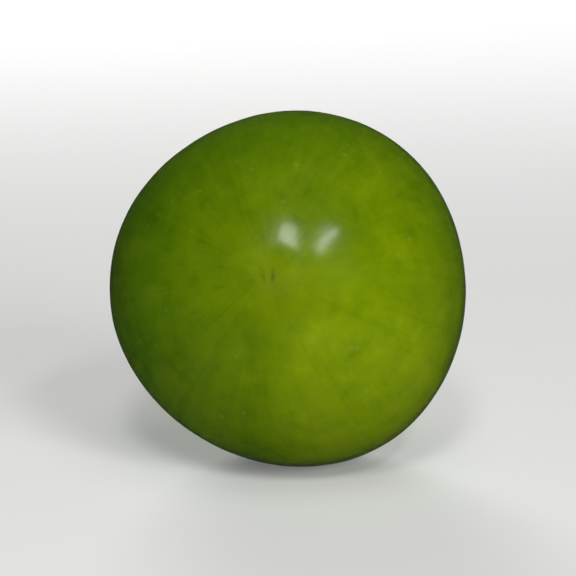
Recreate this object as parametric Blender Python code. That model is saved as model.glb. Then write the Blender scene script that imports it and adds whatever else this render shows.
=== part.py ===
"""A husked tomatillo, picked and lying on a small flat spot.

The fruit grew as one piece, so it is one solid. Its surface is worked out on a grid of
two angles: the angle from the blossom end, and the angle around the line that joins the
blossom end to the stem end. Rings crowd together at both ends, where the scars are.

Metres, +Z up. The flat spot is at z = 0, and the blossom end looks towards -Y, a little
upwards and a little to the left.
"""
import math

import bmesh
import bpy
import numpy as np
from mathutils import Euler, Matrix, Vector

# Driving dimensions, in metres
WIDTH = 0.0440                 # across the belt
LENGTH = 0.0405                # blossom end to stem end, before the dimples
FLAT_WIDTH = 0.0090            # the flat spot that it lies on
SCAR_WIDTH = 0.0072            # the corky stem scar, to the tips of its ragged edge
PIT_RING_WIDTH = 0.0041        # the ring of broken vessel ends in the scar
DIMPLE_DEPTH = 0.0011          # the basin round the stem scar
DIMPLE_WIDTH = 0.0140
CORK_HEIGHT = 0.00022          # how far the cork stands above the basin
CORK_SLOPE = 0.0005            # how wide the slope at its edge is
NAVEL_DEPTH = 0.00025          # the dimple at the blossom end
NAVEL_WIDTH = 0.0050

# How the fruit lies: the blossom end is lifted, and turned to the left
BLOSSOM_LIFT = math.radians(17.0)
BLOSSOM_LEFT = math.radians(5.3)

# The oval: an exponent of 2 is an ellipse, and more is squarer
BLOSSOM_SQUARENESS = 2.10
STEM_SQUARENESS = 2.35
BLOSSOM_REACH = 0.03           # how much further the blossom end reaches than the stem end

# Slow swellings, as shares of the radius: (how many, share, where the first one peaks)
BELT_SWELLINGS = (
    (2, 0.0046, math.radians(-33.0)),
    (3, 0.0165, math.radians(60.0)),
)
SHOULDER_SWELLINGS = (
    (1, 0.0100, math.radians(140.0)),
    (4, 0.0080, math.radians(20.0)),
    (5, 0.0100, math.radians(-35.0)),
)
SHOULDER_PLACE = math.radians(40.0)     # from the stem end
SHOULDER_SPREAD = math.radians(22.0)

# The ragged edge of the cork
CORK_RAGS = (
    (2, 0.05, math.radians(15.0)),
    (3, 0.05, math.radians(95.0)),
    (5, 0.07, math.radians(62.0)),
    (8, 0.04, math.radians(10.0)),
)

# The broken vessel ends: each pit draws its place and size between two limits
PIT_SEED = 11
PIT_COUNT = 10
PIT_STRAY = 0.38               # how far along the ring one strays, in steps of the ring
PIT_RING_SHARES = (0.80, 1.15)
PIT_WIDTHS = (0.00055, 0.00115)
PIT_LENGTHENING = (1.0, 2.2)   # how much longer one is along the ring than across it
PIT_STRENGTHS = (0.55, 1.0)
PIT_DEPTH = 0.00034

# The grid. A crowd is (how many times as dense, within which angle of the end)
AROUND = 72
RINGS = 62
STEM_CROWD = (6.0, 0.20)
BLOSSOM_CROWD = (2.0, 0.15)
CUT_SNAP = 0.00004             # corners this near the flat spot are moved onto it


def clear_scene():
    """Take every object out of the scene."""
    for thing in list(bpy.data.objects):
        bpy.data.objects.remove(thing, do_unlink=True)


def plain_material(name, colour, roughness):
    """A Principled material of one colour, for a surface that isn't metal."""
    material = bpy.data.materials.new(name)
    material.use_nodes = True
    shader = material.node_tree.nodes["Principled BSDF"]
    shader.inputs["Base Color"].default_value = (*colour, 1.0)
    shader.inputs["Roughness"].default_value = roughness
    shader.inputs["Metallic"].default_value = 0.0
    return material


def waves(around, terms):
    """The sum of slow waves round the axis: each is a share times a cosine."""
    total = np.zeros_like(around)
    for count, share, peak in terms:
        total += share * np.cos(count * (around - peak))
    return total


def hump(distance, reach):
    """A round hump: 1 in the middle, and a third at the reach."""
    return np.exp(-((distance / reach) ** 2))


def step_down(distance, edge, softness):
    """1 inside the edge and 0 outside it, with a soft slope between."""
    across = np.clip((edge - distance) / softness + 0.5, 0.0, 1.0)
    return across * across * (3.0 - 2.0 * across)


def oval(from_blossom):
    """Radius of the plain oval by the angle from the blossom end.

    It solves (across / half width)^n + (along / half length)^n = 1, where n and the half
    length change slowly from the blossom end to the stem end.
    """
    across = np.abs(np.sin(from_blossom))
    along = np.cos(from_blossom)
    stemward = 0.5 * (1.0 - along)
    power = BLOSSOM_SQUARENESS + (STEM_SQUARENESS - BLOSSOM_SQUARENESS) * stemward
    half_length = 0.5 * LENGTH * (1.0 + BLOSSOM_REACH * along)
    total = (across / (0.5 * WIDTH)) ** power + (np.abs(along) / half_length) ** power
    return total ** (-1.0 / power)


def vessel_pits(distance, around):
    """How much of a broken vessel end is there, 0 to 1.

    Each is a round hump, drawn out along the ring that they stand on.
    """
    draw = np.random.default_rng(PIT_SEED)
    x = distance * np.cos(around)
    y = distance * np.sin(around)
    pits = np.zeros_like(distance)
    for place in range(PIT_COUNT):
        angle = (place + draw.uniform(-PIT_STRAY, PIT_STRAY)) * 2.0 * math.pi / PIT_COUNT
        ring = 0.5 * PIT_RING_WIDTH * draw.uniform(*PIT_RING_SHARES)
        reach = 0.5 * draw.uniform(*PIT_WIDTHS)
        lengthening = draw.uniform(*PIT_LENGTHENING)
        strength = draw.uniform(*PIT_STRENGTHS)
        out = x * math.cos(angle) + y * math.sin(angle) - ring
        side = y * math.cos(angle) - x * math.sin(angle)
        pits = np.maximum(pits, strength * hump(np.hypot(out, side / lengthening), reach))
    return pits


def cork_relief(distance, around):
    """Height of the stem scar: a ragged raised disc with a ring of uneven pits in it."""
    furthest = 1.0 + sum(share for _, share, _ in CORK_RAGS)
    edge = 0.5 * SCAR_WIDTH * (1.0 + waves(around, CORK_RAGS)) / furthest
    cork = CORK_HEIGHT * step_down(distance, edge, CORK_SLOPE)
    return cork - PIT_DEPTH * vessel_pits(distance, around)


def fruit_radius(from_blossom, around):
    """Distance of the skin from the centre, by the two angles of the grid.

    The oval is swollen by slow waves at the belt and on the shoulders. Then each end gets
    its dimple and its scar.
    """
    from_stem = math.pi - from_blossom
    belt = np.sin(from_blossom) ** 3
    shoulder = np.sin(from_stem) * np.exp(-(((from_stem - SHOULDER_PLACE) / SHOULDER_SPREAD) ** 2))
    radius = oval(from_blossom)
    radius = radius * (1.0 + belt * waves(around, BELT_SWELLINGS))
    radius = radius * (1.0 + shoulder * waves(around, SHOULDER_SWELLINGS))
    stem_distance = 0.5 * LENGTH * from_stem
    blossom_distance = 0.5 * LENGTH * from_blossom
    radius = radius - DIMPLE_DEPTH * hump(stem_distance, 0.5 * DIMPLE_WIDTH)
    radius = radius + cork_relief(stem_distance, around)
    return radius - NAVEL_DEPTH * hump(blossom_distance, 0.5 * NAVEL_WIDTH)


def ring_angles():
    """Angles of the rings from the blossom end, denser near both ends.

    The density is 1, plus a round hump at each end. The rings stand where the running sum
    of the density grows by equal steps.
    """
    fine = np.linspace(0.0, math.pi, 20001)
    times, reach = STEM_CROWD
    density = 1.0 + (times - 1.0) * hump(math.pi - fine, reach)
    times, reach = BLOSSOM_CROWD
    density = density + (times - 1.0) * hump(fine, reach)
    steps = 0.5 * (density[1:] + density[:-1])
    running = np.concatenate([[0.0], np.cumsum(steps)])
    return np.interp(np.linspace(0.0, running[-1], RINGS + 1), running, fine)


def grid_points():
    """Points of the skin in the fruit's own frame, +Z to the blossom end.

    The first and last rows are the single points of the two ends.
    """
    from_blossom, around = np.broadcast_arrays(
        ring_angles()[:, None],
        np.linspace(0.0, 2.0 * math.pi, AROUND, endpoint=False)[None, :],
    )
    radius = fruit_radius(from_blossom, around)
    x = radius * np.sin(from_blossom) * np.cos(around)
    y = radius * np.sin(from_blossom) * np.sin(around)
    z = radius * np.cos(from_blossom)
    return np.stack([x, y, z], axis=-1)


def skin_mesh(name):
    """A closed mesh over the grid: quads between the rings, and a fan at each end."""
    points = grid_points()
    blossom_end = points[0].mean(axis=0)
    stem_end = points[-1].mean(axis=0)
    verts = [tuple(blossom_end)]
    verts += [tuple(point) for point in points[1:-1].reshape(-1, 3)]
    verts.append(tuple(stem_end))
    last = len(verts) - 1
    faces = []
    for place in range(AROUND):
        after = (place + 1) % AROUND
        faces.append((0, 1 + place, 1 + after))
        for ring in range(RINGS - 2):
            low = 1 + ring * AROUND
            high = low + AROUND
            faces.append((low + place, high + place, high + after, low + after))
        low = 1 + (RINGS - 2) * AROUND
        faces.append((low + place, last, low + after))
    mesh = bpy.data.meshes.new(name)
    mesh.from_pydata(verts, [], faces)
    return mesh


def lying_turn():
    """The turn that lays the fruit down: its +Z goes to -Y, lifted and to the left."""
    facing = Euler((0.5 * math.pi, 0.0, 0.0)).to_matrix()
    lift = Euler((-BLOSSOM_LIFT, 0.0, 0.0)).to_matrix()
    left = Euler((0.0, 0.0, -BLOSSOM_LEFT)).to_matrix()
    return left @ lift @ facing


def cut_flat_spot(mesh, turn):
    """Cut the underside off level, just above its lowest point, and close the cut.

    A chord of width w on a circle of radius r lies w * w / (8 r) in from the circle.
    """
    down = turn.inverted() @ Vector((0.0, 0.0, -1.0))
    lowest = max(vert.co.dot(down) for vert in mesh.vertices)
    level = lowest - FLAT_WIDTH ** 2 / (8.0 * lowest)
    shape = bmesh.new()
    shape.from_mesh(mesh)
    bmesh.ops.bisect_plane(
        shape,
        geom=shape.verts[:] + shape.edges[:] + shape.faces[:],
        dist=CUT_SNAP,
        plane_co=down * level,
        plane_no=down,
        clear_outer=True,
    )
    rim = [edge for edge in shape.edges if edge.is_boundary]
    for vert in {vert for edge in rim for vert in edge.verts}:
        vert.co += down * (level - vert.co.dot(down))
    bmesh.ops.contextual_create(shape, geom=rim)
    for face in shape.faces:
        face.smooth = True
    for edge in rim:
        edge.smooth = False
    bmesh.ops.recalc_face_normals(shape, faces=shape.faces[:])
    shape.to_mesh(mesh)
    shape.free()


def build_fruit():
    """The whole fruit, laid down on its flat spot with its box centred on the Z axis."""
    mesh = skin_mesh("fruit")
    turn = lying_turn()
    cut_flat_spot(mesh, turn)
    corners = np.array([turn @ vert.co for vert in mesh.vertices])
    low = corners.min(axis=0)
    high = corners.max(axis=0)
    middle = 0.5 * (low + high)
    fruit = bpy.data.objects.new("fruit", mesh)
    fruit.matrix_world = Matrix.Translation((-middle[0], -middle[1], -low[2])) @ turn.to_4x4()
    bpy.context.scene.collection.objects.link(fruit)
    mesh.materials.append(plain_material("green skin", (0.15, 0.23, 0.004), 0.30))
    return fruit


clear_scene()
build_fruit()
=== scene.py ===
"""The finish of a husked tomatillo, made round its solid.

The skin is one closed surface on a fine grid of two angles: the angle from the blossom
end, and the angle around the line that joins the blossom end to the stem end. It
repeats the solid's own form, and gives it finer cork and torn vessel ends, puckers, the
faint ripples of the skin, and their colours.

Metres, +Z up, in the solid's own frame. The blossom end looks towards -Y.
"""
import math

import bpy
import numpy as np
from mathutils import Euler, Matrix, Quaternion, Vector


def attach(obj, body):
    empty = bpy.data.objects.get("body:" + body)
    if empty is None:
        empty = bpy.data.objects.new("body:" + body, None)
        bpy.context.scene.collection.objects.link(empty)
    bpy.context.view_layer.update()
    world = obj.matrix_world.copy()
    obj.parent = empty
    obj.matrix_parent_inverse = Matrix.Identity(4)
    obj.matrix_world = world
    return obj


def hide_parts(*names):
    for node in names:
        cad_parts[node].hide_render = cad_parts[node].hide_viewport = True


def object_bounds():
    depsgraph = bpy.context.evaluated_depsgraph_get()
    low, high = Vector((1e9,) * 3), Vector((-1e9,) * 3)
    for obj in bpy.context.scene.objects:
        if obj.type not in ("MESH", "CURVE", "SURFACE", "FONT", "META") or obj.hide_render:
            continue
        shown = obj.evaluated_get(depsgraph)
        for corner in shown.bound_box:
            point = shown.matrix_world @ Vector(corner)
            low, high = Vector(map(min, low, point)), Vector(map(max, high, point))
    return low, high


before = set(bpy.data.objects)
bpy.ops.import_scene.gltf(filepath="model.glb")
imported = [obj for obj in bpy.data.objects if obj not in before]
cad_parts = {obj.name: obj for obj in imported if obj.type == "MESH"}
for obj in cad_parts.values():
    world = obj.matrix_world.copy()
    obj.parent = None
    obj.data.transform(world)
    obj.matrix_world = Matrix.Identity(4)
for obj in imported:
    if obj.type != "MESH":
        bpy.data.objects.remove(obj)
solid_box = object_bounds()

# The solid's form, in metres and radians
WIDTH = 0.0440
LENGTH = 0.0405
SCAR_WIDTH = 0.0072
PIT_RING_WIDTH = 0.0041
DIMPLE_DEPTH = 0.0011
DIMPLE_WIDTH = 0.0140
CORK_HEIGHT = 0.00022
NAVEL_DEPTH = 0.00025
NAVEL_WIDTH = 0.0050
BLOSSOM_LIFT = math.radians(17.0)
BLOSSOM_LEFT = math.radians(5.3)
BLOSSOM_SQUARENESS = 2.10
STEM_SQUARENESS = 2.35
BLOSSOM_REACH = 0.03
SHOULDER_PLACE = math.radians(40.0)
SHOULDER_SPREAD = math.radians(22.0)

# Waves round the axis: (how many, share, where the first one peaks)
BELT_SWELLINGS = (
    (2, 0.0046, math.radians(-33.0)),
    (3, 0.0165, math.radians(60.0)),
)
SHOULDER_SWELLINGS = (
    (1, 0.0100, math.radians(140.0)),
    (4, 0.0080, math.radians(20.0)),
    (5, 0.0100, math.radians(-35.0)),
)
CORK_RAGS = (
    (2, 0.05, math.radians(15.0)),
    (3, 0.05, math.radians(95.0)),
    (5, 0.07, math.radians(62.0)),
    (8, 0.04, math.radians(10.0)),
)
PUCKERS = (
    (5, 0.55, math.radians(-20.0)),
    (9, 0.30, math.radians(14.0)),
    (14, 0.15, math.radians(5.0)),
)

# Ripples of the surface: (wavelength, size) in metres, each set with its first seed
SKIN_RIPPLES = ((0.015, 0.000040), (0.006, 0.000012), (0.0025, 0.000003))
SKIN_SEED = 20
CORK_CRUMBS = ((0.0011, 0.000040), (0.0005, 0.000028), (0.00025, 0.000014))
CRUMB_SEED = 40
CORK_TATTERS = ((0.0019, 0.00012), (0.0008, 0.00013), (0.0004, 0.00006))
TATTER_SEED = 50
PIT_WARP = ((0.0012, 0.00014), (0.0005, 0.00007))
PIT_WARP_SEEDS = (60, 70)
FLECK_WARP = (0.0013, 0.00009)
FLECK_WARP_SEEDS = (80, 81)
RIPPLE_WAVES = 28              # sine waves in one set of ripples
RIPPLE_SPREAD = (0.75, 1.35)   # shortest and longest of them, as shares of the wavelength

# The grain, which starts at the blossom scar and runs from end to end, and its streaks
BLOSSOM_SCAR_LEFT = 0.0009     # from the end of the axis, in metres
GRAIN_EASE = 0.012             # how far from the scar the grain bends towards it, in metres
GRAIN_ALONG = 0.4              # how fast the grain changes along the fruit, against round it
STREAK_WAVELENGTH = 0.16       # in radians round the fruit
STREAK_HEIGHT = 0.000005
STREAK_SEED = 30

# The cork's edge, its growth rings and its middle, in metres
CORK_SLOPE = 0.0004
RIM_HEIGHT = 0.00008
RIM_INSET = 0.00030
RIM_REACH = 0.00022
GROOVE_DEPTH = 0.00009
GROOVE_OUTSET = 0.00030
GROOVE_REACH = 0.00030
CORK_RING_SPACING = 0.00075
CORK_RING_HEIGHT = 0.000025
CORK_RING_RAG = 2.0            # how much the rings follow the ragged edge
BOSS_HEIGHT = 0.00012
BOSS_REACH = 0.0006

# The puckers of the skin round the cork, in metres
PUCKER_DEPTH = 0.00010
PUCKER_START = 0.0006          # from the cork's edge
PUCKER_EASE = 0.0012
PUCKER_PLACE = 0.0045          # where they are deepest, from the stem end
PUCKER_REACH = 0.0030

# The broken vessel ends: each pit draws its place and size between two limits
PIT_SEED = 11
PIT_COUNT = 10
PIT_STRAY = 0.38
PIT_RING_SHARES = (0.80, 1.15)
PIT_WIDTHS = (0.00055, 0.00115)
PIT_LENGTHENING = (1.0, 2.2)
PIT_STRENGTHS = (0.55, 1.0)
PIT_DEPTH = 0.00034
LIP_HEIGHT = 0.00006
LIP_LEVEL = 0.22               # the share of a pit at which its lip stands
LIP_REACH = 0.10

# Flecks round the blossom scar, and a wide soft darker patch round and below it: (across, up,
# width, length) in metres from the scar, then how far each leans, and its strength
FLECKS = (
    ((0.00060, -0.00040, 0.00070, 0.00200), 0.05, 1.25),
    ((-0.00056, -0.00035, 0.00062, 0.00205), -0.22, 1.00),
    ((-0.00185, -0.00090, 0.00150, 0.00085), 0.00, 0.65),
    ((0.00250, -0.00650, 0.00100, 0.00110), 0.30, 0.35),
    ((0.00100, -0.00200, 0.01000, 0.00640), 0.00, 0.40),
)
FLECK_DEPTH = 0.000012

# Where the colours of cork start and end, in metres
CORK_COLOUR_SLOPE = 0.0003
BROWN_RIM_REACH = 0.0004
BROWN_RING_REACH = 0.0006
BROWN_RING_SHARE = 0.7

# The grid. A crowd is (how many times as dense, within which angle of the end)
AROUND = 320
RINGS = 300
STEM_CROWD = (7.0, 0.30)
BLOSSOM_CROWD = (4.0, 0.12)
DENSITY_STEPS = 20000
FLAT_SOFTNESS = 0.00008        # rounding where the skin leaves the surface it lies on

# The way that the fruit's yellower side faces, in turns of colour for each metre: partly the real
# sunnier colour of its face, and partly painted shade, as the flanks turn darker and greener away
# from the lit side, the left one most
SUNNY_AND_LIT_SIDE = (15.5, -41.0, 0.0)

# Colours, in linear light
# The deep green is the real green of the back and sides, and on the flanks it also carries painted
# shade
DEEP_GREEN_AND_FLANK_SHADE = (0.083, 0.180, 0.0010)
LEAF_GREEN = (0.126, 0.201, 0.0008)
SUNNY_GREEN = (0.176, 0.264, 0.0010)
HALO_GREEN = (0.240, 0.325, 0.016)
PALE_GREEN = (0.330, 0.400, 0.100)
VEIN_GREEN = (0.185, 0.265, 0.012)
FLECK_BROWN = (0.045, 0.055, 0.004)
LIGHTER = (1.15, 1.11, 1.30)   # times the green below it
DARKER = (0.82, 0.88, 0.80)
CORK_TAN = (0.500, 0.400, 0.235)
CORK_PALE = (0.720, 0.650, 0.450)
CORK_BROWN = (0.270, 0.190, 0.095)
PIT_BROWN = (0.130, 0.095, 0.065)
FLOOR_PALE = (0.90, 0.90, 0.89)

# How fine each pattern is, in repeats for each metre
DRIFT_SCALE = 55.0
RAG_SCALE = 260.0
MOTTLE_SCALE = 420.0
CLOUD_SCALE = 150.0
CLOUD_BEND_SCALE = 60.0
VEIN_BEND_SCALE = 90.0
VEIN_PATCH_SCALE = 130.0
FLAKE_SCALE = 1300.0
DOT_SCALE = 520.0
CRUMB_SCALE = 1500.0
WAX_SCALE = 130.0
PORE_SCALE = 1100.0

# How fine the patterns that follow the grain are: the first two round the fruit, then along
STREAK_SCALES = (13.0, 13.0, 2.0)
VEIN_SCALES = (9.0, 9.0, 4.0)
FIBRE_SCALES = (7.0, 7.0, 60.0)

# Where each mark starts to show and where it shows in full, on the pattern that it follows
LEAF_RANGE = (0.12, 0.80)      # in turns of colour
SUNNY_RANGE = (0.54, 1.04)     # in turns of colour
PALE_STREAK_RANGE = (0.45, 0.80)
DARK_STREAK_RANGE = (0.50, 0.20)
MOTTLE_RANGES = ((0.50, 0.72), (0.50, 0.30))
CLOUD_RANGES = ((0.50, 0.70), (0.50, 0.30))
VEIN_LINE_RANGE = (0.11, 0.0)
VEIN_PATCH_RANGE = (0.38, 0.66)
FLAKE_RANGE = (0.58, 0.70)
DOT_EDGE_RANGE = (0.22, 0.08)
DOT_CHOICE_RANGE = (0.62, 0.66)
PALE_CRUMB_RANGE = (0.35, 0.70)
BROWN_FIBRE_RANGE = (0.52, 0.72)
TORN_RANGE = (0.22, 0.80)
WAX_RANGE = (0.3, 0.7)

# The same for marks that depend on the distance from the stem end, in millimetres
HALO_RANGE_MM = (15.0, 2.5)
PALE_HALO_RANGE_MM = (8.0, 2.0)
VEIN_RANGE_MM = (30.0, 5.0)
FLAKE_RANGE_MM = (6.5, 3.4)

# How far patterns are pushed to and fro
DRIFT_SWAY = 0.22              # in turns of colour
RAG_SWAY_MM = 1.2
STREAK_SWAY_MM = 1.1
CLOUD_BEND = 0.012             # in metres
VEIN_BEND = 0.10               # in radians round the fruit
NOISE_REACH = 0.30             # how far soft noise strays from a half
STREAK_REACH = 0.25            # how far the streaks' noise does

# How strong each mark is where it shows in full
HALO_SHARE = 0.88
PALE_HALO_SHARE = 0.60
PALE_STREAK_SHARE = 0.16
VEIN_SHARES = (0.12, 0.34)     # far from the stem end, and near it
FLAKE_SHARE = 0.55
DOT_SHARE = 0.12
FLECK_SHARE = 0.45
BROWN_FIBRE_SHARE = 0.55
BROWN_CORK_SHARE = 0.45
TORN_SHARE = 0.90

# Gloss
SKIN_ROUGHNESS = (0.17, 0.25)  # where the wax is thick, and where it is thin
CORK_ROUGHNESS = 0.85
COAT_SHARE = 0.29
PORE_DEPTH = 0.00004
PORE_STRENGTH = 0.09

# The picture
FRUIT_SHARE = 0.62             # of the picture's width
CAMERA_HEIGHT = math.radians(12.0)
LENS_MM = 180.0
SENSOR_MM = 36.0
CLIP_START = 0.01
CLIP_END = 20.0
ROOM_LIGHT = 0.02              # the white round the fruit, as the fruit is lit by it
FLOOR_RADIUS = 0.60
FLOOR_SIDES = 96
FLOOR_SHARE = 0.85             # how much of the floor shows before the white behind it
FLOOR_FADE = 0.15              # where the floor starts to fade, as a share of its radius

# Small lights that gleam on the skin: (azimuth, elevation, width, height, watts, lean)
GLEAMS = {
    "over the camera": (-4.0, 41.0, 0.09, 0.19, 0.95, 0.0),
    "right of the camera": (22.0, 40.0, 0.05, 0.20, 0.58, 48.0),
}
GLEAM_DISTANCE = 0.60

# Wide soft lights: (azimuth, elevation, width, height, watts)
FILLS = {
    "wide, at the right": (30.0, 20.0, 0.40, 0.40, 3.8),
    "overhead": (20.0, 75.0, 0.60, 0.60, 1.1),
    "wide, behind": (190.0, 14.0, 0.40, 0.40, 6.8),
}
FILL_DISTANCE = 0.90


def waves(around, terms):
    """The sum of slow waves round the axis: each is a share times a cosine."""
    total = np.zeros_like(around)
    for count, share, peak in terms:
        total = total + share * np.cos(count * (around - peak))
    return total


def hump(distance, reach):
    """A round hump: 1 in the middle, and a third at the reach."""
    return np.exp(-((distance / reach) ** 2))


def step_down(distance, edge, softness):
    """1 inside the edge and 0 outside it, with a soft slope between."""
    across = np.clip((edge - distance) / softness + 0.5, 0.0, 1.0)
    return across * across * (3.0 - 2.0 * across)


def ripples(points, wavelength, seed):
    """Uneven ripples of about -1 to 1: the sum of plane sine waves in seeded directions."""
    draw = np.random.default_rng(seed)
    directions = draw.normal(size=(RIPPLE_WAVES, 3))
    directions = directions / np.linalg.norm(directions, axis=1, keepdims=True)
    lengths = wavelength * draw.uniform(*RIPPLE_SPREAD, RIPPLE_WAVES)
    phases = draw.uniform(0.0, 2.0 * math.pi, RIPPLE_WAVES)
    turns = points @ (directions * (2.0 * math.pi / lengths)[:, None]).T
    return np.sin(turns + phases).sum(axis=-1) / math.sqrt(RIPPLE_WAVES)


def oval(from_blossom):
    """Radius of the plain oval by the angle from the blossom end.

    It solves (across / half width)^n + (along / half length)^n = 1, where n and the half
    length change slowly from the blossom end to the stem end.
    """
    across = np.abs(np.sin(from_blossom))
    along = np.cos(from_blossom)
    stemward = 0.5 * (1.0 - along)
    power = BLOSSOM_SQUARENESS + (STEM_SQUARENESS - BLOSSOM_SQUARENESS) * stemward
    half_length = 0.5 * LENGTH * (1.0 + BLOSSOM_REACH * along)
    total = (across / (0.5 * WIDTH)) ** power + (np.abs(along) / half_length) ** power
    return total ** (-1.0 / power)


def form_radius(from_blossom, around):
    """The solid's radius without its scars: the oval, its swellings and its two dimples.

    The belt's swellings fade towards both ends, as the cube of the sine does. The
    shoulder's fade as a round hump does, and each dimple is a round hump.
    """
    from_stem = math.pi - from_blossom
    belt = np.sin(from_blossom) ** 3
    shoulder = np.sin(from_stem) * hump(from_stem - SHOULDER_PLACE, SHOULDER_SPREAD)
    radius = oval(from_blossom)
    radius = radius * (1.0 + belt * waves(around, BELT_SWELLINGS))
    radius = radius * (1.0 + shoulder * waves(around, SHOULDER_SWELLINGS))
    radius = radius - DIMPLE_DEPTH * hump(0.5 * LENGTH * from_stem, 0.5 * DIMPLE_WIDTH)
    return radius - NAVEL_DEPTH * hump(0.5 * LENGTH * from_blossom, 0.5 * NAVEL_WIDTH)


def on_sphere(radius, from_blossom, around):
    """Points at that radius and those two angles, +Z to the blossom end."""
    x = radius * np.sin(from_blossom) * np.cos(around)
    y = radius * np.sin(from_blossom) * np.sin(around)
    z = radius * np.cos(from_blossom)
    return np.stack([x, y, z], axis=-1)


def cork_edge(points, around):
    """Distance of the cork's edge from the axis: slow lobes, tattered by ripples."""
    furthest = 1.0 + sum(share for _, share, _ in CORK_RAGS)
    edge = 0.5 * SCAR_WIDTH * (1.0 + waves(around, CORK_RAGS)) / furthest
    for step, (wavelength, size) in enumerate(CORK_TATTERS):
        edge = edge + size * ripples(points, wavelength, TATTER_SEED + step)
    return edge


def vessel_pits(points, distance, around):
    """How much of a broken vessel end is there, 0 to 1.

    Each is a round hump, drawn out along the ring that they stand on. Ripples push the
    places aside first, so that no hump is round.
    """
    draw = np.random.default_rng(PIT_SEED)
    seed_x, seed_y = PIT_WARP_SEEDS
    x = distance * np.cos(around)
    y = distance * np.sin(around)
    for step, (wavelength, size) in enumerate(PIT_WARP):
        x = x + size * ripples(points, wavelength, seed_x + step)
        y = y + size * ripples(points, wavelength, seed_y + step)
    pits = np.zeros_like(distance)
    for place in range(PIT_COUNT):
        angle = (place + draw.uniform(-PIT_STRAY, PIT_STRAY)) * 2.0 * math.pi / PIT_COUNT
        ring = 0.5 * PIT_RING_WIDTH * draw.uniform(*PIT_RING_SHARES)
        reach = 0.5 * draw.uniform(*PIT_WIDTHS)
        lengthening = draw.uniform(*PIT_LENGTHENING)
        strength = draw.uniform(*PIT_STRENGTHS)
        out = x * math.cos(angle) + y * math.sin(angle) - ring
        side = y * math.cos(angle) - x * math.sin(angle)
        pits = np.maximum(pits, strength * hump(np.hypot(out, side / lengthening), reach))
    return pits


def cork_relief(points, distance, edge, pits):
    """Height of the cork: a lifted rim and its groove, crumbs, pits with lips, rings, a boss."""
    cork = step_down(distance, edge, CORK_SLOPE)
    height = CORK_HEIGHT * cork
    height = height + RIM_HEIGHT * hump(distance - edge + RIM_INSET, RIM_REACH)
    height = height - GROOVE_DEPTH * hump(distance - edge - GROOVE_OUTSET, GROOVE_REACH)
    for step, (wavelength, size) in enumerate(CORK_CRUMBS):
        height = height + size * cork * ripples(points, wavelength, CRUMB_SEED + step)
    height = height - PIT_DEPTH * pits
    height = height + LIP_HEIGHT * hump(pits - LIP_LEVEL, LIP_REACH)
    ragged = distance + CORK_RING_RAG * (edge - 0.5 * SCAR_WIDTH)
    rings = np.cos(2.0 * math.pi * ragged / CORK_RING_SPACING)
    height = height + CORK_RING_HEIGHT * cork * rings
    return height + BOSS_HEIGHT * hump(distance, BOSS_REACH)


def pucker_depth(distance, around, edge):
    """Depth of the puckers: waves round the cork, which fade out on both sides."""
    outside = 1.0 - step_down(distance, edge + PUCKER_START, PUCKER_EASE)
    fading = outside * hump(distance - PUCKER_PLACE, PUCKER_REACH)
    return PUCKER_DEPTH * fading * (0.5 + 0.5 * waves(around, PUCKERS))


def fleck_share(points, distance, around):
    """How dark the flecks round the blossom scar are: soft dashes, and a wide darker patch.

    Each is an oval hump that leans, with its sides pushed about by ripples.
    """
    wavelength, size = FLECK_WARP
    seed_across, seed_up = FLECK_WARP_SEEDS
    across = distance * np.cos(around) + BLOSSOM_SCAR_LEFT
    across = across + size * ripples(points, wavelength, seed_across)
    up = distance * np.sin(around) + size * ripples(points, wavelength, seed_up)
    share = np.zeros_like(distance)
    for (x, y, width, length), lean, strength in FLECKS:
        off_x = (across - x - lean * (up - y)) / (0.5 * width)
        off_y = (up - y) / (0.5 * length)
        share = np.maximum(share, strength * hump(np.hypot(off_x, off_y), 1.0))
    return share


def skin_grain(from_blossom, around):
    """The way round the fruit, as a cosine and a sine, and the way along it.

    The grain starts at the blossom scar, so near it every place is pushed aside, by a
    round hump, before its angle is taken.
    """
    distance = 0.5 * LENGTH * from_blossom
    across = distance * np.cos(around) + BLOSSOM_SCAR_LEFT * hump(distance, GRAIN_EASE)
    up = distance * np.sin(around)
    turn = np.arctan2(up, across)
    return np.stack([np.cos(turn), np.sin(turn), GRAIN_ALONG * from_blossom], axis=-1)


def closed_faces(rings, around):
    """Faces of a grid whose first and last rows are single points."""
    place = np.arange(around)
    after = (place + 1) % around
    first = np.zeros(around, int)
    last = np.full(around, 1 + (rings - 1) * around)
    low = 1 + np.arange(rings - 2)[:, None] * around
    high = low + around
    quads = np.stack([low + place, high + place, high + after, low + after], axis=-1)
    top = np.stack([first, 1 + place, 1 + after], axis=-1)
    base = 1 + (rings - 2) * around
    bottom = np.stack([base + place, last, base + after], axis=-1)
    return top.tolist() + quads.reshape(-1, 4).tolist() + bottom.tolist()


def with_ends(grid):
    """The grid's rows as one list of values, with one value for each end."""
    tail = grid.shape[2:]
    first = grid[0].mean(axis=0)[None]
    last = grid[-1].mean(axis=0)[None]
    return np.concatenate([first, grid[1:-1].reshape(-1, *tail), last])


def lying_turn():
    """The turn that lays the fruit down: its +Z goes to -Y, lifted and to the left."""
    facing = Euler((0.5 * math.pi, 0.0, 0.0)).to_matrix()
    lift = Euler((-BLOSSOM_LIFT, 0.0, 0.0)).to_matrix()
    left = Euler((0.0, 0.0, -BLOSSOM_LEFT)).to_matrix()
    return np.array(left @ lift @ facing)


def lay_down(points):
    """Points turned as the fruit lies, set in the solid's box, and flattened underneath.

    The flattening takes a height z to half of z plus the root of z squared and a small
    number squared, so it never goes below the surface.
    """
    turned = points @ lying_turn().T
    low = turned.min(axis=0)
    high = turned.max(axis=0)
    box_low, box_high = (np.array(corner) for corner in solid_box)
    size = ((box_high - box_low) / (high - low))[:2].min()
    placed = (turned - 0.5 * (low + high)) * size
    placed[:, :2] += 0.5 * (box_low + box_high)[:2]
    placed[:, 2] += box_high[2] - placed[:, 2].max()
    placed[:, 2] = 0.5 * (placed[:, 2] + np.sqrt(placed[:, 2] ** 2 + FLAT_SOFTNESS ** 2))
    return placed


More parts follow.
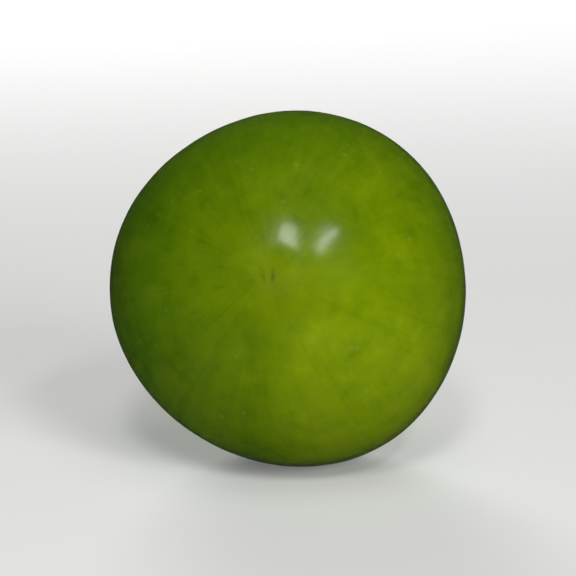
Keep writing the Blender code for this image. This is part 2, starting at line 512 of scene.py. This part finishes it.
def write_attribute(mesh, name, values):
    """Keep one number, or one vector, for each point of the mesh."""
    kind = "FLOAT" if values.ndim == 1 else "FLOAT_VECTOR"
    field = "value" if values.ndim == 1 else "vector"
    attribute = mesh.attributes.new(name, kind, "POINT")
    attribute.data.foreach_set(field, values.astype(np.float32).ravel())


def ring_angles():
    """Angles of the rings from the blossom end, denser near both ends.

    The density is 1, plus a round hump at each end. The rings stand where the running sum
    of the density grows by equal steps.
    """
    fine = np.linspace(0.0, math.pi, DENSITY_STEPS + 1)
    times, reach = STEM_CROWD
    density = 1.0 + (times - 1.0) * hump(math.pi - fine, reach)
    times, reach = BLOSSOM_CROWD
    density = density + (times - 1.0) * hump(fine, reach)
    steps = 0.5 * (density[1:] + density[:-1])
    running = np.concatenate([[0.0], np.cumsum(steps)])
    return np.interp(np.linspace(0.0, running[-1], RINGS + 1), running, fine)


def build_skin():
    """The whole outside of the fruit, with the numbers that its colours follow."""
    from_blossom, around = np.broadcast_arrays(
        ring_angles()[:, None],
        np.linspace(0.0, 2.0 * math.pi, AROUND, endpoint=False)[None, :],
    )
    radius = form_radius(from_blossom, around)
    form = on_sphere(radius, from_blossom, around)
    stem_distance = 0.5 * LENGTH * (math.pi - from_blossom)
    blossom_distance = 0.5 * LENGTH * from_blossom

    grain = skin_grain(from_blossom, around)
    edge = cork_edge(form, around)
    pits = vessel_pits(form, stem_distance, around)
    flecks = fleck_share(form, blossom_distance, around)
    radius = radius + cork_relief(form, stem_distance, edge, pits)
    radius = radius - pucker_depth(stem_distance, around, edge)
    for step, (wavelength, size) in enumerate(SKIN_RIPPLES):
        radius = radius + size * ripples(form, wavelength, SKIN_SEED + step)
    streaks = np.sin(from_blossom) * ripples(grain, STREAK_WAVELENGTH, STREAK_SEED)
    radius = radius + STREAK_HEIGHT * streaks - FLECK_DEPTH * flecks
    points = on_sphere(radius, from_blossom, around)

    mesh = bpy.data.meshes.new("fruit_skin")
    mesh.from_pydata(lay_down(with_ends(points)).tolist(), [], closed_faces(RINGS, AROUND))
    mesh.shade_smooth()
    cork = step_down(stem_distance, edge, CORK_COLOUR_SLOPE)
    brown_rim = hump(stem_distance - edge, BROWN_RIM_REACH)
    brown_ring = BROWN_RING_SHARE * hump(stem_distance - 0.5 * PIT_RING_WIDTH, BROWN_RING_REACH)
    write_attribute(mesh, "grain", with_ends(grain))
    write_attribute(mesh, "stem_mm", with_ends(1000.0 * stem_distance))
    write_attribute(mesh, "cork", with_ends(cork))
    write_attribute(mesh, "brown", with_ends(np.maximum(brown_rim, brown_ring)))
    write_attribute(mesh, "pit", with_ends(pits))
    write_attribute(mesh, "fleck", with_ends(flecks))
    skin = bpy.data.objects.new("fruit_skin", mesh)
    bpy.context.scene.collection.objects.link(skin)
    return skin


class Recipe:
    """A material's nodes, with one short call for each kind."""

    def __init__(self, name):
        self.material = bpy.data.materials.new(name)
        self.material.use_nodes = True
        self.tree = self.material.node_tree
        self.shader = self.tree.nodes["Principled BSDF"]

    def add(self, kind, inputs, **settings):
        """A new node with these settings, and with these values or links at its inputs."""
        node = self.tree.nodes.new(kind)
        for name, value in settings.items():
            setattr(node, name, value)
        for place, value in inputs.items():
            if isinstance(value, bpy.types.NodeSocket):
                self.tree.links.new(value, node.inputs[place])
            else:
                node.inputs[place].default_value = value
        return node

    def place(self):
        """Where the point is, in metres."""
        return self.add("ShaderNodeTexCoord", {}).outputs["Object"]

    def number(self, name):
        """A number that the mesh keeps for each point."""
        return self.add("ShaderNodeAttribute", {}, attribute_name=name).outputs["Fac"]

    def vector(self, name):
        """A vector that the mesh keeps for each point."""
        return self.add("ShaderNodeAttribute", {}, attribute_name=name).outputs["Vector"]

    def stretch(self, vector, sizes):
        """The vector, made larger along each axis."""
        return self.add("ShaderNodeMapping", {"Vector": vector, "Scale": sizes}).outputs[0]

    def noise(self, vector, scale, detail=3.0, roughness=0.5):
        """Soft noise of 0 to 1."""
        inputs = {"Vector": vector, "Scale": scale, "Detail": detail, "Roughness": roughness}
        return self.add("ShaderNodeTexNoise", inputs).outputs["Fac"]

    def cells(self, vector, scale, feature="F1"):
        """Uneven cells, with the distance to their middle or to their edge."""
        inputs = {"Vector": vector, "Scale": scale}
        return self.add("ShaderNodeTexVoronoi", inputs, feature=feature)

    def bend(self, vector, place, scale, size):
        """The vector, pushed aside by soft noise."""
        noise = self.add("ShaderNodeTexNoise", {"Vector": place, "Scale": scale, "Detail": 2.0})
        inputs = {0: noise.outputs["Color"], 1: (0.5, 0.5, 0.5)}
        aside = self.add("ShaderNodeVectorMath", inputs, operation="SUBTRACT").outputs[0]
        inputs = {0: aside, 1: (size, size, size), 2: vector}
        return self.add("ShaderNodeVectorMath", inputs, operation="MULTIPLY_ADD").outputs[0]

    def spread(self, value, low, high, start=0.0, end=1.0):
        """From the start to the end, as the value goes from low to high, eased at both."""
        inputs = {"Value": value, "From Min": low, "From Max": high, "To Min": start, "To Max": end}
        return self.add("ShaderNodeMapRange", inputs, interpolation_type="SMOOTHSTEP").outputs[0]

    def sway(self, noise, size, reach=NOISE_REACH):
        """A push to and fro by the size, as the noise goes by its reach on both sides of a half."""
        return self.spread(noise, 0.5 - reach, 0.5 + reach, -size, size)

    def maths(self, operation, first, second):
        """One step of arithmetic with two numbers."""
        return self.add("ShaderNodeMath", {0: first, 1: second}, operation=operation).outputs[0]

    def blend(self, share, first, second, how="MIX"):
        """A colour between the first and the second, by the share."""
        inputs = {
            "Factor": share,
            6: first if isinstance(first, bpy.types.NodeSocket) else (*first, 1.0),
            7: second if isinstance(second, bpy.types.NodeSocket) else (*second, 1.0),
        }
        return self.add("ShaderNodeMix", inputs, data_type="RGBA", blend_type=how).outputs[2]

    def mottle(self, noise, colour, ranges):
        """The colour, lighter where the noise is high and darker where it is low."""
        light, dark = ranges
        colour = self.blend(self.spread(noise, *light), colour, LIGHTER, "MULTIPLY")
        return self.blend(self.spread(noise, *dark), colour, DARKER, "MULTIPLY")

    def give(self, **values):
        """Set or link the shader's own sockets, named with _ for a space."""
        for name, value in values.items():
            socket = self.shader.inputs[name.replace("_", " ")]
            if isinstance(value, bpy.types.NodeSocket):
                self.tree.links.new(value, socket)
            else:
                socket.default_value = value


def greens_with_painted_flank_shade(recipe, place):
    """Deep green that turns yellower towards the sunny side, in slow drifts. The turn is partly the
    real colour of the sunnier face, and partly painted shade: the flanks are darker and greener
    away from the light, the left one most.
    """
    inputs = {0: place, 1: SUNNY_AND_LIT_SIDE}
    towards = recipe.add("ShaderNodeVectorMath", inputs, operation="DOT_PRODUCT")
    drift = recipe.sway(recipe.noise(place, DRIFT_SCALE, detail=2.0), DRIFT_SWAY)
    # Painted shade in part: the flanks turn deep green away from the lit side, the left one most
    sunny_and_lit = recipe.maths("ADD", towards.outputs["Value"], drift)
    colour = recipe.blend(recipe.spread(sunny_and_lit, *LEAF_RANGE), DEEP_GREEN_AND_FLANK_SHADE, LEAF_GREEN)
    return recipe.blend(recipe.spread(sunny_and_lit, *SUNNY_RANGE), colour, SUNNY_GREEN)


def stem_halo(recipe, place, stem, streaks, colour):
    """A pale halo round the stem end, with an edge that is ragged along the streaks."""
    ragged = recipe.maths("ADD", stem, recipe.sway(recipe.noise(place, RAG_SCALE), RAG_SWAY_MM))
    ragged = recipe.maths("ADD", ragged, recipe.sway(streaks, STREAK_SWAY_MM, STREAK_REACH))
    halo = recipe.spread(ragged, *HALO_RANGE_MM, end=HALO_SHARE)
    colour = recipe.blend(halo, colour, HALO_GREEN)
    pale = recipe.spread(ragged, *PALE_HALO_RANGE_MM, end=PALE_HALO_SHARE)
    return recipe.blend(pale, colour, PALE_GREEN)


def vein_net(recipe, place, grain, stem, colour):
    """A faint net of pale veins, drawn out along the fruit and clearer near the stem end."""
    wavy = recipe.bend(grain, place, VEIN_BEND_SCALE, VEIN_BEND)
    net = recipe.cells(recipe.stretch(wavy, VEIN_SCALES), 1.0, "DISTANCE_TO_EDGE")
    line = recipe.spread(net.outputs["Distance"], *VEIN_LINE_RANGE)
    patches = recipe.spread(recipe.noise(place, VEIN_PATCH_SCALE), *VEIN_PATCH_RANGE)
    near_stem = recipe.spread(stem, *VEIN_RANGE_MM, *VEIN_SHARES)
    share = recipe.maths("MULTIPLY", recipe.maths("MULTIPLY", line, patches), near_stem)
    return recipe.blend(share, colour, VEIN_GREEN)


def cork_flakes(recipe, place, stem, colour):
    """Loose flakes of cork on the skin round the scar."""
    near_cork = recipe.spread(stem, *FLAKE_RANGE_MM, end=FLAKE_SHARE)
    flakes = recipe.spread(recipe.noise(place, FLAKE_SCALE), *FLAKE_RANGE)
    return recipe.blend(recipe.maths("MULTIPLY", flakes, near_cork), colour, CORK_TAN)


def pale_dots(recipe, place, colour):
    """A few small pale dots, one in the middle of each cell whose own number is high."""
    dots = recipe.cells(place, DOT_SCALE)
    chosen = recipe.spread(dots.outputs["Color"], *DOT_CHOICE_RANGE)
    spot = recipe.spread(dots.outputs["Distance"], *DOT_EDGE_RANGE)
    share = recipe.maths("MULTIPLY", recipe.maths("MULTIPLY", spot, chosen), DOT_SHARE)
    return recipe.blend(share, colour, PALE_GREEN)


def skin_colour(recipe, place):
    """The colour of the skin, from the slow turn of its green to its smallest marks."""
    grain = recipe.vector("grain")
    stem = recipe.number("stem_mm")
    streaks = recipe.noise(recipe.stretch(grain, STREAK_SCALES), 1.0, detail=4.0, roughness=0.6)
    mottle = recipe.noise(place, MOTTLE_SCALE, detail=5.0, roughness=0.65)
    bent = recipe.bend(place, place, CLOUD_BEND_SCALE, CLOUD_BEND)
    clouds = recipe.noise(bent, CLOUD_SCALE, detail=4.0, roughness=0.6)

    colour = greens_with_painted_flank_shade(recipe, place)
    colour = stem_halo(recipe, place, stem, streaks, colour)
    pale_streaks = recipe.spread(streaks, *PALE_STREAK_RANGE, end=PALE_STREAK_SHARE)
    colour = recipe.blend(pale_streaks, colour, VEIN_GREEN)
    colour = recipe.blend(recipe.spread(streaks, *DARK_STREAK_RANGE), colour, DARKER, "MULTIPLY")
    colour = recipe.mottle(mottle, colour, MOTTLE_RANGES)
    colour = recipe.mottle(clouds, colour, CLOUD_RANGES)
    colour = vein_net(recipe, place, grain, stem, colour)
    colour = cork_flakes(recipe, place, stem, colour)
    colour = pale_dots(recipe, place, colour)
    flecks = recipe.maths("MULTIPLY", recipe.number("fleck"), FLECK_SHARE)
    return recipe.blend(flecks, colour, FLECK_BROWN)


def cork_colour(recipe, place):
    """Dry cork with pale crumbs and browner fibres, and brown at its rim and its ring of pits."""
    crumbs = recipe.noise(place, CRUMB_SCALE, detail=4.0, roughness=0.7)
    colour = recipe.blend(recipe.spread(crumbs, *PALE_CRUMB_RANGE), CORK_TAN, CORK_PALE)
    fibres = recipe.noise(recipe.stretch(recipe.vector("grain"), FIBRE_SCALES), 1.0, detail=4.0)
    brown_fibres = recipe.spread(fibres, *BROWN_FIBRE_RANGE, end=BROWN_FIBRE_SHARE)
    colour = recipe.blend(brown_fibres, colour, CORK_BROWN)
    brown = recipe.maths("MULTIPLY", recipe.number("brown"), BROWN_CORK_SHARE)
    return recipe.blend(brown, colour, CORK_BROWN)


def skin_material():
    """Waxy green skin, with dry cork at the stem end."""
    recipe = Recipe("tomatillo skin")
    place = recipe.place()
    cork = recipe.number("cork")
    waxy = recipe.maths("SUBTRACT", 1.0, cork)

    colour = recipe.blend(cork, skin_colour(recipe, place), cork_colour(recipe, place))
    torn = recipe.spread(recipe.number("pit"), *TORN_RANGE, end=TORN_SHARE)
    colour = recipe.blend(torn, colour, PIT_BROWN)

    wax = recipe.noise(place, WAX_SCALE, detail=4.0, roughness=0.6)
    gloss = recipe.spread(wax, *WAX_RANGE, *SKIN_ROUGHNESS)
    rough = recipe.maths("MAXIMUM", gloss, recipe.maths("MULTIPLY", cork, CORK_ROUGHNESS))

    pores = recipe.noise(place, PORE_SCALE, detail=2.0)
    inputs = {"Height": pores, "Strength": PORE_STRENGTH, "Distance": PORE_DEPTH}
    pore_bump = recipe.add("ShaderNodeBump", inputs).outputs["Normal"]

    recipe.give(
        Base_Color=colour,
        Roughness=rough,
        Normal=pore_bump,
        Metallic=0.0,
        IOR=1.42,
        Specular_IOR_Level=0.12,
        Subsurface_Weight=0.15,
        Subsurface_Radius=(0.7, 1.0, 0.25),
        Subsurface_Scale=0.0025,
        Coat_Weight=recipe.maths("MULTIPLY", waxy, COAT_SHARE),
        Coat_Roughness=0.14,
        Coat_IOR=1.45,
    )
    return recipe.material


def build_stage():
    """A pale round floor that fades out into the white round it."""
    angle = np.linspace(0.0, 2.0 * math.pi, FLOOR_SIDES, endpoint=False)
    rim = np.stack([np.cos(angle), np.sin(angle), 0.0 * angle], axis=-1) * FLOOR_RADIUS
    mesh = bpy.data.meshes.new("floor")
    mesh.from_pydata(rim.tolist(), [], [list(range(FLOOR_SIDES))])
    floor = bpy.data.objects.new("floor", mesh)
    bpy.context.scene.collection.objects.link(floor)
    recipe = Recipe("pale floor")
    out = recipe.add("ShaderNodeVectorMath", {0: recipe.place()}, operation="LENGTH")
    distance = out.outputs["Value"]
    fade = recipe.spread(distance, FLOOR_FADE * FLOOR_RADIUS, FLOOR_RADIUS, FLOOR_SHARE, 0.0)
    recipe.give(Base_Color=(*FLOOR_PALE, 1.0), Roughness=0.8, Specular_IOR_Level=0.1, Alpha=fade)
    mesh.materials.append(recipe.material)
    floor.visible_glossy = False


def soft_light(name, target, distance, azimuth, elevation, width, height, watts, lean=0.0):
    """A round or oval soft light that looks at the target. Azimuth 0 is the camera's side.

    A lean turns the oval clockwise.
    """
    turn = math.radians(azimuth)
    lift = math.radians(elevation)
    out = Vector((
        math.sin(turn) * math.cos(lift),
        -math.cos(turn) * math.cos(lift),
        math.sin(lift),
    ))
    light = bpy.data.lights.new(name, "AREA")
    light.shape = "ELLIPSE"
    light.size = width
    light.size_y = height
    light.energy = watts
    lamp = bpy.data.objects.new(name, light)
    lamp.location = target + out * distance
    aim = (-out).to_track_quat("-Z", "Y")
    lamp.rotation_euler = (aim @ Quaternion((0.0, 0.0, 1.0), -math.radians(lean))).to_euler()
    lamp.visible_camera = False
    bpy.context.scene.collection.objects.link(lamp)
    return lamp


def light_studio(target):
    """Two small lights over the camera that gleam, and three wide soft ones that don't.

    A wide one lights the fruit, but leaves no bright patch on its gloss.
    """
    for name, settings in GLEAMS.items():
        soft_light(name, target, GLEAM_DISTANCE, *settings)
    for name, settings in FILLS.items():
        lamp = soft_light(name, target, FILL_DISTANCE, *settings)
        lamp.visible_glossy = False


def whiten_room():
    """A room that looks white to the camera, and lights the fruit only a little."""
    world = bpy.data.worlds.new("studio")
    bpy.context.scene.world = world
    world.use_nodes = True
    tree = world.node_tree
    seen = tree.nodes.new("ShaderNodeLightPath").outputs["Is Camera Ray"]
    strength = tree.nodes.new("ShaderNodeMapRange")
    strength.inputs["To Min"].default_value = ROOM_LIGHT
    strength.inputs["To Max"].default_value = 1.0
    tree.links.new(seen, strength.inputs["Value"])
    background = tree.nodes["Background"]
    background.inputs["Color"].default_value = (1.0, 1.0, 1.0, 1.0)
    tree.links.new(strength.outputs["Result"], background.inputs["Strength"])


def place_camera(target):
    """A long lens at the photo's height, with the fruit at its share of the picture."""
    picture_width = (solid_box[1].x - solid_box[0].x) / FRUIT_SHARE
    distance = picture_width * LENS_MM / SENSOR_MM
    out = Vector((0.0, -math.cos(CAMERA_HEIGHT), math.sin(CAMERA_HEIGHT)))
    data = bpy.data.cameras.new("camera")
    data.lens = LENS_MM
    data.sensor_width = SENSOR_MM
    data.clip_start = CLIP_START
    data.clip_end = CLIP_END
    camera = bpy.data.objects.new("camera", data)
    camera.location = target + out * distance
    camera.rotation_euler = (-out).to_track_quat("-Z", "Y").to_euler()
    bpy.context.scene.collection.objects.link(camera)
    bpy.context.scene.camera = camera


skin = build_skin()
skin.data.materials.append(skin_material())
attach(skin, "root")
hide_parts("fruit")

middle = 0.5 * (solid_box[0] + solid_box[1])
build_stage()
light_studio(middle)
whiten_room()
place_camera(middle)
bpy.context.scene.view_settings.view_transform = "Standard"
